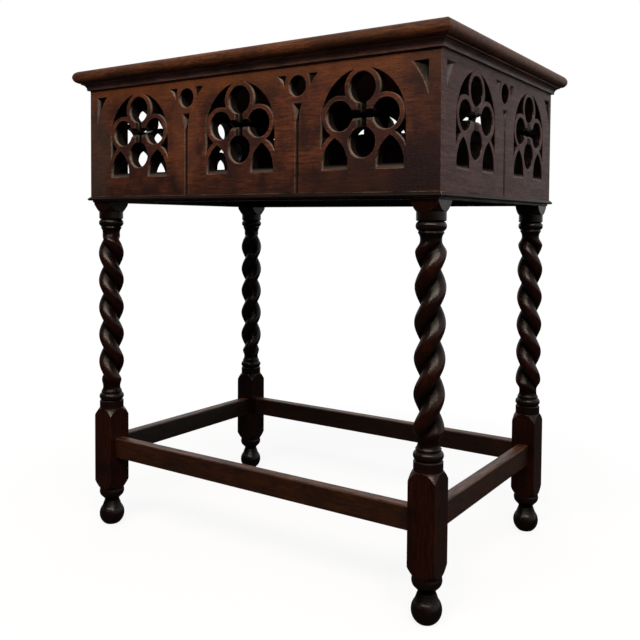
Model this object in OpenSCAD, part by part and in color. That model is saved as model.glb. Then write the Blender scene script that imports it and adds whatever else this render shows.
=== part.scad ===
// Side table in the Gothic style. A moulded top lies on a box of four pierced tracery boards.
// Four turned legs with double twist shafts stand in its corners, tied by four low stretchers.
// The origin is on the floor under the middle of the table. X runs along the long side,
// Y from the front to the back, and Z up. All sizes are in millimetres.

/* [Overall size] */
// Height of the upper face of the top above the floor
table_h = 748.5; // [680:0.5:820]
// Width of the frieze box along the long side, face to face
frieze_w = 634; // [590:2:700]
// Depth of the frieze box along the short side, face to face
frieze_d = 408; // [390:2:460]

/* [Top] */
// Thickness of the top boards, which is also the height of their round nosing
top_t = 20; // [14:1:22]
// Overhang of the top past the frieze faces
top_overhang = 20.5; // [18:0.5:28]
// Width of the front board of the top
front_board_w = 148; // [110:2:180]
// Width of the back board of the top
back_board_w = 140; // [110:2:180]

/* [Cove moulding] */
// Height of the cove moulding under the top
cove_h = 11; // [9:0.5:14]
// Projection of the cove moulding at its head
cove_head_out = 11; // [8:0.5:14]
// Projection of the cove moulding at its foot
cove_foot_out = 4; // [2:0.5:6]
// Height of the plain fillets above and below the cove
cove_fillet_h = 1.5; // [0.5:0.25:2.5]

/* [Frieze] */
// Plain height from the points of the arches to the underside of the top
frieze_head_border = 23.6; // [20:0.2:34]
// Thickness of the frieze boards
frieze_t = 18; // [13:0.5:20]
// Plain width between the outer bays' share and the corner on the long boards
long_border = 9.5; // [2:0.5:14]
// Plain width between the outer bays' share and the corner on the short boards
short_border = 4; // [1:0.5:10]
// Distance that the tracery of the short boards sits towards the back of the table
short_shift = 3; // [0:0.5:4]
// Height of the plain board behind the tracery of the back
lining_h = 116.5; // [90:0.5:150]
// Thickness of the plain board behind the tracery of the back
lining_t = 7; // [4:0.5:12]
// Gap between the plain board and the posts at its ends
lining_gap = 0.5; // [0.25:0.25:2]
// Width of the upright strip above the middle of the plain board
middle_strip_w = 52; // [40:1:60]
// Width of the upright strips behind the round holes of the back
side_strip_w = 36; // [30:1:40]

/* [Tracery] */
// Distance from the middle of the four foils to each foil
foil_out = 35; // [32:0.5:38]
// Radius of each foil
foil_r = 19.6; // [17:0.2:21]
// Width of the band round each foil
band_w = 7; // [5:0.5:8]
// Width of the necks that join the foils
neck_w = 7; // [5:0.5:10]
// Width of the bevels along the necks, which open them towards the face
neck_bevel = 4; // [1:0.5:5]
// Gap between the side bands and the arch
arch_gap = 2.4; // [1:0.2:5]
// Amount by which the radius of the arch's arcs is more than its half width
arch_point = 4; // [1:0.5:10]
// Depth that the top band merges into the point of the arch
band_merge = 0.7; // [0.1:0.1:2]
// Height of the lancet sills above the foot of the frieze
sill_h = 36.5; // [26:0.5:42]
// Fall of the sloping sill towards the face
sill_fall = 7; // [2:0.5:8]
// Half width of each lancet
lancet_half_w = 20.3; // [17:0.1:21]
// Rise of each lancet
lancet_rise = 35; // [33:0.5:41]
// Width of the bar between a lancet's point and the foil above it
lancet_bar = 7.9; // [5:0.1:10]
// Gap between a lancet's side and the line of the arch
lancet_gap = 2.2; // [0.2:0.2:3]
// Height of the ledges outside the lancets above the foot of the frieze
ledge_h = 73; // [66:0.5:78]
// Height over which each ledge slopes down to the face
ledge_run = 17; // [12:0.5:20]
// Depth of the ledges' slope behind the face
ledge_fall = 6; // [3:0.5:9]
// Chamfer on the rims of the foils and round holes
rim_chamfer = 1.2; // [0.5:0.1:2]

/* [Spandrels] */
// Radius of the round hole between two bays
eyelet_r = 13.7; // [11:0.1:15]
// Drop from the level of the arches' points to the round holes
eyelet_drop = 1.7; // [0:0.1:4]
// Plain width between the round holes and the chips beside them
eyelet_border = 3.6; // [2:0.2:6]
// Slant of the inner sides of the chips beside the round holes
chip_slant = 3.4; // [1:0.2:5]
// Plain width between these chips and the line of the groove
chip_border = 3; // [1:0.2:5]
// Depth of the chips beside the round holes
chip_depth = 5; // [3:0.5:7]
// Plain height between the round holes and the darts under them
dart_drop = 8.3; // [5:0.1:12]
// Depth of the darts
dart_depth = 6; // [3:0.5:8]
// Width of the groove between two bays
groove_w = 6.4; // [4:0.2:8]
// Height of the chips at the ends of a board
end_chip_h = 43.5; // [34:0.5:48]
// Plain width between the line of the groove and these end chips
end_chip_border = 1.3; // [0.5:0.1:3]
// Depth of the end chips
end_chip_depth = 8; // [4:0.5:10]

/* [Base moulding] */
// Height of the moulding under the frieze
base_h = 9.5; // [8:0.5:12]
// Projection of the moulding's nose past the frieze
base_out = 4; // [3:0.5:6]
// Radius of the moulding's nose
base_nose_r = 2; // [1:0.25:2.25]
// Height of the set-back fillet under the nose
base_fillet_h = 3; // [2:0.25:3.5]
// Depth that the fillet is set back behind the frieze face
base_fillet_in = 2; // [1:0.25:3]

/* [Legs] */
// Side of the square blocks of the legs
leg_sq = 38.4; // [36:0.2:42]
// Distance from the frieze face to the leg axis
leg_inset = 22.7; // [21.5:0.1:26]
// Greatest radius of the turned foot
foot_r = 20; // [17:0.25:21]
// Height cut flat from the foot's ball where it stands on the floor
foot_cut = 3.5; // [1:0.25:5]
// Radius of the neck above the foot
ankle_r = 11.6; // [10:0.2:13]
// Rise from the middle of the foot to the neck
ankle_rise = 23.5; // [20:0.5:28]
// Radius of the hollow at the neck
ankle_hollow_r = 4; // [2:0.5:6]
// Greatest radius of the collar under the lower block
collar_r = 19.8; // [17:0.2:20.5]
// Radius of the collar's curve in section
collar_arc_r = 11; // [9:0.5:13]
// Rise from the neck to the middle of the collar
collar_rise = 14.5; // [12:0.5:18]
// Rise from the middle of the collar to the lower block
block_rise = 6; // [4:0.5:9]
// Length of the lower block with its turned shoulders
block_len = 134.5; // [120:0.5:150]
// Height of each turned shoulder
shoulder_h = 12.5; // [8:0.5:14]
// Length of the upper block under the base moulding with its shoulder
upper_block_len = 15; // [14.5:0.5:22]
// Radius of the plain drums next to the blocks
drum_r = 19.1; // [17:0.1:19.2]
// Length of the drum above the lower block
lower_drum_len = 13; // [9:0.5:16]
// Length of the drum below the upper block
upper_drum_len = 12; // [8:0.5:15]
// Depth of the quirk between drum and ring
quirk_depth = 1.4; // [0.5:0.1:2]
// Greatest radius of the rings
ring_r = 19.6; // [17:0.2:20]
// Height of the rings
ring_len = 12; // [9:0.5:14]
// Length of the hollow between a ring and the shaft
hollow_len = 10; // [7:0.5:14]
// Height of the small step between a ring and its hollow
neck_step_h = 2.5; // [1:0.25:4]
// Length of the plain neck between a hollow and the twist
plain_neck_len = 1.5; // [1:0.5:8]

/* [Twist] */
// Greatest radius of the twist
twist_r = 19.9; // [17:0.1:21]
// Radius of the twist at the bottom of its grooves
groove_r = 11; // [9:0.1:13]
// Roundness of the strands: 2 makes a soft wave, and less makes full strands with sharp grooves
strand_power = 1.3; // [1:0.1:2]
// Radius of the plain necks
waist_r = 13.8; // [12:0.1:14.5]
// Height that one strand climbs in a full turn
twist_pitch = 90; // [70:1:110]
// Length over which the twist grows out of the necks
twist_fade = 15; // [13:1:40]
// Depth that the ends of the twist are set in, so that they lie inside the round necks
twist_end_in = 0.2; // [0.1:0.05:0.4]
// Direction of the strands at the twist's foot on the front right leg
twist_turn_fr = 148; // [0:1:179]
// Direction of the strands at the twist's foot on the front left leg
twist_turn_fl = 33; // [0:1:179]
// Direction of the strands at the twist's foot on the back right leg
twist_turn_br = 99; // [0:1:179]
// Direction of the strands at the twist's foot on the back left leg
twist_turn_bl = 46; // [0:1:179]

/* [Stretchers] */
// Rise from the foot of the lower block to the underside of the stretchers
stretcher_rise = 54; // [30:1:64]
// Height of the stretcher section
stretcher_h = 31.5; // [24:0.5:40]
// Thickness of the stretchers
stretcher_t = 18; // [14:0.5:22]
// Radius of the eased upper edges
stretcher_ease_r = 2.5; // [1:0.25:5]
// Thickness of the tenons
tenon_t = 9; // [7:0.5:10]
// Height left off the tenon above and below
tenon_shoulder = 4; // [3:0.5:8]
// Length of the tenons
tenon_len = 13; // [10:0.5:13.5]
// Clearance round a tenon in its mortise
tenon_gap = 0.1; // [0.05:0.05:0.3]

/* [Hidden fixings] */
// Side of the square glue blocks under the top
glue_block_sq = 20; // [18:0.5:22]
// Length of the glue blocks
glue_block_len = 50; // [40:2:64]
// Radius of the shank of the screws that hold the top
screw_r = 2; // [1.5:0.25:2.5]
// Radius of the screw heads
screw_head_r = 4; // [3:0.25:4.5]
// Depth of the screws' bite in the top
screw_bite = 10; // [7:0.5:11]
// Clearance round a screw
screw_gap = 0.1; // [0.05:0.05:0.3]

/* [Hidden] */
$fn = 96;

oak_top = "#5a3a26";
oak_panel = "#4d3022";
oak_leg = "#2b1d18";
oak_rail = "#3a241b";
pale_wood = "#9a7650";
steel = "#8d9095";

// Counts of tracery bays on the long and the short boards
long_bays = 3;
short_bays = 2;
// Amount by which a cutter runs past the face that it cuts
over = 1;
// Where the arcs of the turned profiles end, as angles from the horizontal
foot_arc_end = 40;
ankle_arc_turns = [215, 140];
collar_arc_turns = [-50, 22];
ring_arc_turn = 62;
hollow_arc_turn = 42;
// Share of its outer corner in the place of a chip's deepest point
chip_corner_share = 0.6;
end_chip_corner_share = 0.75;
// Counts of steps in the curves of the chips and the turned shoulders
chip_steps = 4;
shoulder_steps = 8;
// Bend of the turned shoulders: 1 makes a cone, and more makes them rounder
shoulder_bend = 1.2;
// Counts of points round the twist and of rings of points along it
twist_sides = 24;
twist_rings = 60;

// Places in a bay of tracery, above the foot of the frieze and out from the bay's middle
foil_h = sill_h + lancet_rise + lancet_bar + foil_r;
arch_half_w = foil_out + foil_r + band_w + arch_gap;
arch_r = arch_half_w + arch_point;
arch_top_h = foil_h + foil_out + foil_r + band_w - band_merge;
spring_h = arch_top_h - sqrt(arch_r * arch_r - arch_point * arch_point);
lancet_out = arch_half_w - lancet_gap - lancet_half_w;
eyelet_h = arch_top_h - eyelet_drop - eyelet_r;
frieze_h = arch_top_h + frieze_head_border;

// Levels, from the top down
top_under_z = table_h - top_t;
frieze_foot_z = top_under_z - frieze_h;
base_foot_z = frieze_foot_z - base_h;
cove_foot_z = top_under_z - cove_h;

// Places in plan
top_w = frieze_w + 2 * top_overhang;
top_d = frieze_d + 2 * top_overhang;
leg_x = frieze_w / 2 - leg_inset;
leg_y = frieze_d / 2 - leg_inset;
post_sq = leg_inset + leg_sq / 2 - frieze_t;
middle_board_y = top_d / 2 - front_board_w;
back_board_y = top_d / 2 - back_board_w;

// Levels of the leg
foot_mid_z = foot_r - foot_cut;
ankle_z = foot_mid_z + ankle_rise;
collar_z = ankle_z + collar_rise;
block_foot_z = collar_z + block_rise;
block_head_z = block_foot_z + block_len;
stretcher_foot_z = block_foot_z + stretcher_rise;
upper_drum_z = base_foot_z - upper_block_len;
twist_foot_z = block_head_z + neck_run(lower_drum_len);
twist_head_z = upper_drum_z - neck_run(upper_drum_len);
twist_len = twist_head_z - twist_foot_z;
block_corner_r = leg_sq / sqrt(2);

// Points on an arc of radius r about [x, y], from one angle to another
function arc(x, y, r, from, to, steps = 12) =
    [for (i = [0:steps]) let (a = from + (to - from) * i / steps) [x + r * cos(a), y + r * sin(a)]];

// A number eased from 0 to 1
function ease(t) = let (c = max(0, min(1, t))) c * c * (3 - 2 * c);

// Radius of the arcs of a pointed opening, from its half width and rise
function pointed_r(half_w, rise) = (rise * rise + half_w * half_w) / (2 * half_w);

// Plan of a mitred piece that runs along the front, from one depth behind the face to one before it
module mitre_plan(long, short, inner, outer) {
    polygon([[-long / 2 + inner, -short / 2 + inner], [long / 2 - inner, -short / 2 + inner],
        [long / 2 + outer, -short / 2 - outer], [-long / 2 - outer, -short / 2 - outer]]);
}

// A mitred run of moulding along the front; its section has x outwards from the face and y up
module mitred_run(long, short, inner, outer, foot_z, height) {
    intersection() {
        translate([-long / 2 - outer, -short / 2, foot_z])
            rotate([90, 0, 90])
            linear_extrude(long + 2 * outer)
            mirror([1, 0])
            children();
        translate([0, 0, foot_z])
            linear_extrude(height)
            mitre_plan(long, short, inner, outer);
    }
}

// Turns a piece made for the front to the side named by its quarter turns
module on_side(quarter) {
    rotate([0, 0, quarter * 90])
        children();
}

// Section of the top: a board with a full round nosing on both edges
module nosed_section(width) {
    translate([-width / 2 + top_t / 2, 0])
        square([width - top_t, top_t]);
    for (s = [-1, 1])
        translate([s * (width / 2 - top_t / 2), top_t / 2])
        circle(top_t / 2);
}

// The whole top as one blank, with its nosing mitred round the corners
module top_blank() {
    intersection() {
        translate([-top_w / 2, 0, top_under_z])
            rotate([90, 0, 90])
            linear_extrude(top_w)
            nosed_section(top_d);
        translate([0, top_d / 2, top_under_z])
            rotate([90, 0, 0])
            linear_extrude(top_d)
            nosed_section(top_w);
    }
}

// Places of the glue blocks: along the long boards and along the short ones
block_sites = [
    [0, -frieze_w / 4], [0, frieze_w / 4], [2, -frieze_w / 4], [2, frieze_w / 4],
    [1, 0], [3, 0]];

// Distance from the middle of the table to the face that a glue block is rubbed on
function inner_face(quarter) = (quarter % 2 == 0 ? frieze_d : frieze_w) / 2 - frieze_t;

// Puts its children on the middle of the foot of each glue block, with the board towards -Y
module at_blocks() {
    for (site = block_sites)
        on_side(site[0])
        translate([site[1], glue_block_sq / 2 - inner_face(site[0]), top_under_z - glue_block_sq])
        children();
}

// A wood screw with its head down, countersunk in the foot of a glue block
module screw(gap) {
    cylinder(h = screw_head_r - screw_r, r1 = screw_head_r + gap, r2 = screw_r + gap);
    cylinder(h = glue_block_sq + screw_bite + gap, r = screw_r + gap);
}

// One board of the top between two places in Y, bored for the screws
module top_board(from_y, to_y) {
    color(oak_top)
        difference() {
            intersection() {
                top_blank();
                translate([-top_w / 2 - over, from_y, top_under_z - over])
                    cube([top_w + 2 * over, to_y - from_y, top_t + 2 * over]);
            }
            at_blocks()
                screw(screw_gap);
        }
}

module top_board_front() { top_board(-top_d / 2, -middle_board_y); }
module top_board_middle() { top_board(-middle_board_y, back_board_y); }
module top_board_back() { top_board(back_board_y, top_d / 2); }

// Section of the cove moulding, x outwards from the frieze face
module cove_section() {
    dx = cove_head_out - cove_foot_out;
    dy = cove_h - 2 * cove_fillet_h;
    r = (dx * dx + dy * dy) / (2 * dx);
    difference() {
        square([cove_head_out, cove_h]);
        translate([cove_foot_out + r, cove_fillet_h])
            circle(r);
        translate([cove_foot_out, -over])
            square([dx + over, cove_fillet_h + over]);
    }
}

module cove(quarter, long, short) {
    color(oak_top)
        on_side(quarter)
        mitred_run(long, short, 0, cove_head_out, cove_foot_z, cove_h)
        cove_section();
}

module cove_front() { cove(0, frieze_w, frieze_d); }
module cove_back() { cove(2, frieze_w, frieze_d); }
module cove_left() { cove(3, frieze_d, frieze_w); }
module cove_right() { cove(1, frieze_d, frieze_w); }

// A pointed opening that stands on y = 0
module pointed(half_w, r, height) {
    intersection() {
        translate([half_w - r, 0])
            circle(r);
        translate([r - half_w, 0])
            circle(r);
        translate([-half_w, 0])
            square([2 * half_w, height]);
    }
}

// The four foils, grown by a width
module foils(grow) {
    for (a = [0:90:270])
        rotate(a)
        translate([foil_out, 0])
        circle(foil_r + grow);
}

// The necks that join the foils in a cross
module necks() {
    square([2 * foil_out, neck_w], center = true);
    square([neck_w, 2 * foil_out], center = true);
}

// The two lancets, grown by a width
module lancets(grow) {
    r = pointed_r(lancet_half_w, lancet_rise) + grow;
    for (s = [-1, 1])
        translate([s * lancet_out, sill_h])
        pointed(lancet_half_w + grow, r, lancet_rise + 2 * grow + over);
}

// The field of the arch above the sills
module arch_field() {
    translate([0, spring_h])
        pointed(arch_half_w, arch_r, arch_r);
    translate([-arch_half_w, sill_h])
        square([2 * arch_half_w, spring_h - sill_h]);
}

// Everything pierced through one bay
module bay_openings() {
    translate([0, foil_h]) {
        foils(0);
        necks();
    }
    lancets(0);
    difference() {
        arch_field();
        translate([0, foil_h])
            foils(band_w);
        lancets(band_w);
        translate([-lancet_out, sill_h])
            square([2 * lancet_out, foil_h - sill_h]);
        translate([0, foil_h])
            square([2 * foil_r, 2 * foil_r], center = true);
        translate([-arch_half_w, sill_h])
            square([2 * arch_half_w, ledge_h - sill_h]);
    }
}

// The sloping ledges between the lancets and the arch, falling towards the face z = 0
module ledges() {
    intersection() {
        translate([0, 0, -ledge_fall])
            linear_extrude(ledge_fall + over)
            difference() {
                translate([-arch_half_w, ledge_h - ledge_run])
                    square([2 * arch_half_w, ledge_run]);
                lancets(band_w);
                translate([-lancet_out, ledge_h - ledge_run])
                    square([2 * lancet_out, ledge_run]);
            }
        translate([-arch_half_w, ledge_h, 0])
            rotate([90, 0, 90])
            linear_extrude(2 * arch_half_w)
            polygon([[0, over], [0, -ledge_fall], [-ledge_run, 0], [-ledge_run, over]]);
    }
}

// The bevels that open the cross of necks towards the face z = 0
module neck_bevels() {
    for (a = [0, 90])
        rotate(a)
        translate([-foil_out, 0, 0])
        rotate([90, 0, 90])
        linear_extrude(2 * foil_out)
        polygon([[-neck_w / 2, -neck_bevel], [neck_w / 2, -neck_bevel],
            [neck_w / 2 + neck_bevel + over, over], [-neck_w / 2 - neck_bevel - over, over]]);
}

// A rim chamfer round a hole of radius r, on the face z = 0
module rim(r) {
    translate([0, 0, -rim_chamfer])
        cylinder(h = 2 * rim_chamfer, r1 = r, r2 = r + 2 * rim_chamfer);
}

// The sloping sill of a lancet, falling towards the face z = 0
module sill() {
    for (s = [-1, 1])
        translate([s * lancet_out - lancet_half_w, sill_h, 0])
        rotate([90, 0, 90])
        linear_extrude(2 * lancet_half_w)
        polygon([[0, -sill_fall], [0, over], [-sill_fall, over], [-sill_fall, 0]]);
}

// A carved chip: a pit over an outline on the face z = 0, deepest under one point
module chip(outline, deepest, depth) {
    n = len(outline);
    polyhedron(
        points = concat(
            [for (p = outline) [p[0], p[1], 0]],
            [[deepest[0], deepest[1], -depth]]),
        faces = concat(
            [[for (i = [n - 1:-1:0]) i]],
            [for (i = [0:n - 1]) [i, (i + 1) % n, n]]));
}

// Half width at a height, and turn at a height, of a curve about the foot of an arch's bend
function border_x(r, y) = sqrt(r * r - (y - spring_h) * (y - spring_h));
function border_turn(r, y) = asin((y - spring_h) / r);

// One of the two chips beside a round hole, on the side towards +X
module side_chip(pitch, border_r) {
    chip_r = border_r - chip_border;
    inner = [eyelet_r + eyelet_border, arch_top_h];
    foot_x = inner[0] + chip_slant;
    curve = arc(pitch / 2, spring_h, chip_r, 180 - acos((pitch / 2 - foot_x) / chip_r),
        180 - border_turn(chip_r, arch_top_h), chip_steps);
    side = (inner + curve[0]) / 2;
    chip(concat([inner], curve), side + (curve[chip_steps] - side) * chip_corner_share, chip_depth);
}

// The dart between two arches, which narrows to the width of the groove
module dart(pitch, border_r, head_y) {
    turn = border_turn(border_r, head_y);
    chip(
        concat(
            arc(-pitch / 2, spring_h, border_r, turn, 0, chip_steps),
            arc(pitch / 2, spring_h, border_r, 180, 180 - turn, chip_steps)),
        [0, (2 * head_y + spring_h) / 3], dart_depth);
}

// What is carved between two bays: a pierced round hole, two chips, a dart and the groove
module spandrel(pitch) {
    border_r = (pitch - groove_w) / 2;
    dart_y = eyelet_h - eyelet_r - dart_drop;
    translate([0, eyelet_h, -frieze_t - over])
        cylinder(h = frieze_t + 2 * over, r = eyelet_r);
    translate([0, eyelet_h, 0])
        rim(eyelet_r);
    for (s = [0, 1])
        mirror([s, 0, 0])
        side_chip(pitch, border_r);
    dart(pitch, border_r, dart_y);
    rotate([-90, 0, 0])
        linear_extrude(dart_y - groove_w)
        rotate(45)
        square(groove_w / sqrt(2), center = true);
}

// The tall chip between the last bay and the corner
module end_chip(pitch) {
    chip_r = (pitch - groove_w) / 2 - end_chip_border;
    foot_y = arch_top_h - end_chip_h;
    corner = [border_x(chip_r, foot_y), arch_top_h];
    curve = arc(0, spring_h, chip_r, border_turn(chip_r, arch_top_h),
        border_turn(chip_r, foot_y), chip_steps);
    side = (curve[0] + curve[chip_steps]) / 2;
    chip(concat(curve, [corner]), side + (corner - side) * end_chip_corner_share, end_chip_depth);
}

// A frieze board along the front, carved with a row of bays that may sit off its middle
module frieze_board(long, short, bays, border, shift) {
    pitch = (long - 2 * border) / bays;
    reach = (bays - 1) / 2 * pitch;
    intersection() {
        translate([0, -short / 2, frieze_foot_z])
            rotate([90, 0, 0])
            difference() {
                translate([-long / 2, 0, -frieze_t])
                    cube([long, frieze_h, frieze_t]);
                for (i = [0:bays - 1])
                    translate([shift - reach + i * pitch, 0, 0]) {
                        translate([0, 0, -frieze_t - over])
                            linear_extrude(frieze_t + 2 * over)
                            bay_openings();
                        for (a = [0:90:270])
                            translate([foil_out * cos(a), foil_h + foil_out * sin(a), 0])
                            rim(foil_r);
                        translate([0, foil_h, 0])
                            neck_bevels();
                        sill();
                        ledges();
                    }
                for (i = [1:bays - 1])
                    translate([shift - reach + (i - 0.5) * pitch, 0, 0])
                        spandrel(pitch);
                for (s = [0, 1])
                    translate([shift, 0, 0])
                    mirror([s, 0, 0])
                    translate([reach, 0, 0])
                    end_chip(pitch);
            }
        translate([0, 0, frieze_foot_z])
            linear_extrude(frieze_h)
            mitre_plan(long, short, frieze_t, 0);
    }
}

module frieze(quarter, long, short, bays, border, shift) {
    color(oak_panel)
        on_side(quarter)
        frieze_board(long, short, bays, border, shift);
}

module frieze_front() { frieze(0, frieze_w, frieze_d, long_bays, long_border, 0); }
module frieze_back() { frieze(2, frieze_w, frieze_d, long_bays, long_border, 0); }
module frieze_left() { frieze(3, frieze_d, frieze_w, short_bays, short_border, -short_shift); }
module frieze_right() { frieze(1, frieze_d, frieze_w, short_bays, short_border, short_shift); }

// The plain board glued on the inner face of the back board, with strips up to the top
module back_lining() {
    length = frieze_w - 2 * (leg_inset + leg_sq / 2 + lining_gap);
    bay_w = (frieze_w - 2 * long_border) / long_bays;
    color(oak_panel)
        translate([0, frieze_d / 2 - frieze_t - lining_t, frieze_foot_z]) {
            translate([-length / 2, 0, 0])
                cube([length, lining_t, lining_h]);
            translate([-middle_strip_w / 2, 0, 0])
                cube([middle_strip_w, lining_t, frieze_h]);
            for (s = [-1, 1])
                translate([s * bay_w / 2 - side_strip_w / 2, 0, 0])
                cube([side_strip_w, lining_t, frieze_h]);
        }
}

// Section of the base moulding, x outwards from the frieze face
module base_section() {
    nose_x = base_out - base_nose_r;
    nose_y = base_fillet_h + base_nose_r;
    translate([nose_x, nose_y])
        circle(base_nose_r);
    polygon([[-frieze_t, 0], [-base_fillet_in, 0], [-base_fillet_in, base_fillet_h],
        [nose_x, base_fillet_h], [nose_x + base_nose_r * sin(45), nose_y + base_nose_r * cos(45)],
        [0, base_h], [-frieze_t, base_h]]);
}

module base_moulding(quarter, long, short) {
    color(oak_panel)
        on_side(quarter)
        mitred_run(long, short, frieze_t, base_out, base_foot_z, base_h)
        base_section();
}

module base_moulding_front() { base_moulding(0, frieze_w, frieze_d); }
module base_moulding_back() { base_moulding(2, frieze_w, frieze_d); }
module base_moulding_left() { base_moulding(3, frieze_d, frieze_w); }
module base_moulding_right() { base_moulding(1, frieze_d, frieze_w); }

// The turned foot, neck and collar under the lower block, as points of half a section
function foot_points() = concat(
    [[0, 0]],
    arc(0, foot_mid_z, foot_r, -asin(foot_mid_z / foot_r), foot_arc_end),
    arc(ankle_r + ankle_hollow_r, ankle_z, ankle_hollow_r, ankle_arc_turns[0], ankle_arc_turns[1]),
    arc(collar_r - collar_arc_r, collar_z, collar_arc_r, collar_arc_turns[0], collar_arc_turns[1]),
    [[drum_r, block_foot_z], [0, block_foot_z]]);

// Length of the turned work between a block and the twist
function neck_run(drum_len) = drum_len + ring_len + hollow_len + plain_neck_len;

// The drum, quirk, ring and hollow next to a block, as points of half a section from y = 0 up
function neck_points(drum_len) =
    let (bulge_r = ring_len / 2 / sin(ring_arc_turn),
        hollow_y = drum_len + ring_len,
        hollow_r = (hollow_len - neck_step_h) / sin(hollow_arc_turn))
    concat(
        [[0, 0], [drum_r, 0], [drum_r, drum_len - quirk_depth], [drum_r - quirk_depth, drum_len]],
        arc(ring_r - bulge_r, drum_len + ring_len / 2, bulge_r, -ring_arc_turn, ring_arc_turn),
        arc(waist_r + hollow_r, hollow_y + hollow_len, hollow_r, 180 + hollow_arc_turn, 180),
        [[waist_r, neck_run(drum_len)], [0, neck_run(drum_len)]]);

// A square block with both ends turned to round shoulders
module turned_block(length, foot_shoulder, head_shoulder) {
    rise = block_corner_r - drum_r;
    intersection() {
        translate([-leg_sq / 2, -leg_sq / 2, 0])
            cube([leg_sq, leg_sq, length]);
        rotate_extrude()
            polygon(concat(
                [[0, 0], [drum_r, 0]],
                [for (i = [1:foot_shoulder ? shoulder_steps : 0]) let (t = i / shoulder_steps)
                    [drum_r + rise * t, shoulder_h * pow(t, shoulder_bend)]],
                [[block_corner_r + over, foot_shoulder ? shoulder_h : 0],
                    [block_corner_r + over, head_shoulder ? length - shoulder_h : length]],
                [for (i = [head_shoulder ? shoulder_steps : 0:-1:1]) let (t = i / shoulder_steps)
                    [drum_r + rise * t, length - shoulder_h * pow(t, shoulder_bend)]],
                [[head_shoulder ? drum_r : block_corner_r + over, length], [0, length]]));
    }
}

// The twisted shaft: rings of points that turn with the two strands as they climb
module twist(hand, turn) {
    end_r = waist_r - twist_end_in;
    points = [for (k = [0:twist_rings]) let (
            z = twist_len * k / twist_rings,
            fade = ease(z / twist_fade) * ease((twist_len - z) / twist_fade))
        for (i = [0:twist_sides - 1]) let (
            a = 360 * i / twist_sides,
            full_r = groove_r + (twist_r - groove_r) * pow(abs(cos(a)), strand_power),
            r = end_r + (full_r - end_r) * fade,
            climbed = a + turn + hand * 360 * z / twist_pitch)
        [r * cos(climbed), r * sin(climbed), z]];
    faces = concat(
        [[for (i = [0:twist_sides - 1]) i]],
        [for (k = [0:twist_rings - 1]) for (i = [0:twist_sides - 1]) let (j = (i + 1) % twist_sides)
            [k * twist_sides + i, (k + 1) * twist_sides + i, k * twist_sides + j]],
        [for (k = [0:twist_rings - 1]) for (i = [0:twist_sides - 1]) let (j = (i + 1) % twist_sides)
            [k * twist_sides + j, (k + 1) * twist_sides + i, (k + 1) * twist_sides + j]],
        [[for (i = [twist_sides - 1:-1:0]) twist_rings * twist_sides + i]]);
    polyhedron(points = points, faces = faces, convexity = 8);
}

// A mortise for a stretcher that leaves the leg towards +X
module mortise() {
    translate([leg_sq / 2 - tenon_len - tenon_gap, -tenon_t / 2 - tenon_gap,
        stretcher_foot_z + tenon_shoulder - tenon_gap])
        cube([tenon_len + tenon_gap + over, tenon_t + 2 * tenon_gap,
            stretcher_h - 2 * tenon_shoulder + 2 * tenon_gap]);
}

// A whole leg at its corner; x_side and y_side are -1 or 1
module leg(x_side, y_side, hand, turn) {
    color(oak_leg)
        translate([x_side * leg_x, y_side * leg_y, 0])
        difference() {
            union() {
                rotate_extrude()
                    polygon(foot_points());
                translate([0, 0, block_foot_z])
                    turned_block(block_len, true, true);
                translate([0, 0, block_head_z])
                    rotate_extrude()
                    polygon(neck_points(lower_drum_len));
                translate([0, 0, twist_foot_z])
                    twist(hand, turn);
                translate([0, 0, upper_drum_z])
                    mirror([0, 0, 1])
                    rotate_extrude()
                    polygon(neck_points(upper_drum_len));
                translate([0, 0, upper_drum_z])
                    turned_block(upper_block_len, true, false);
                translate([x_side > 0 ? -leg_sq / 2 : leg_sq / 2 - post_sq,
                    y_side > 0 ? -leg_sq / 2 : leg_sq / 2 - post_sq, base_foot_z])
                    cube([post_sq, post_sq, top_under_z - base_foot_z]);
            }
            mirror([x_side > 0 ? 1 : 0, 0, 0])
                mortise();
            mirror([0, y_side > 0 ? 1 : 0, 0])
                rotate([0, 0, 90])
                mortise();
        }
}

module leg_front_left() { leg(-1, -1, -1, twist_turn_fl); }
module leg_front_right() { leg(1, -1, 1, twist_turn_fr); }
module leg_back_left() { leg(-1, 1, 1, twist_turn_bl); }
module leg_back_right() { leg(1, 1, -1, twist_turn_br); }

// Section of a stretcher with its two upper edges eased
module stretcher_section() {
    translate([-stretcher_t / 2, 0])
        square([stretcher_t, stretcher_h - stretcher_ease_r]);
    translate([stretcher_ease_r - stretcher_t / 2, 0])
        square([stretcher_t - 2 * stretcher_ease_r, stretcher_h]);
    for (s = [-1, 1])
        translate([s * (stretcher_t / 2 - stretcher_ease_r), stretcher_h - stretcher_ease_r])
        circle(stretcher_ease_r);
}

// A stretcher along X between two leg axes, with its tenons
module stretcher(axis_span) {
    shown = axis_span - leg_sq;
    color(oak_rail) {
        translate([-shown / 2, 0, stretcher_foot_z])
            rotate([90, 0, 90])
            linear_extrude(shown)
            stretcher_section();
        translate([-shown / 2 - tenon_len, -tenon_t / 2, stretcher_foot_z + tenon_shoulder])
            cube([shown + 2 * tenon_len, tenon_t, stretcher_h - 2 * tenon_shoulder]);
    }
}

module stretcher_front() { translate([0, -leg_y, 0]) stretcher(2 * leg_x); }
module stretcher_back() { translate([0, leg_y, 0]) stretcher(2 * leg_x); }
module stretcher_left() { translate([-leg_x, 0, 0]) rotate([0, 0, 90]) stretcher(2 * leg_y); }
module stretcher_right() { translate([leg_x, 0, 0]) rotate([0, 0, 90]) stretcher(2 * leg_y); }

module glue_blocks() {
    color(pale_wood)
        at_blocks()
        difference() {
            translate([-glue_block_len / 2, -glue_block_sq / 2, 0])
                cube([glue_block_len, glue_block_sq, glue_block_sq]);
            screw(screw_gap);
        }
}

module top_screws() {
    color(steel)
        at_blocks()
        screw(0);
}

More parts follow.
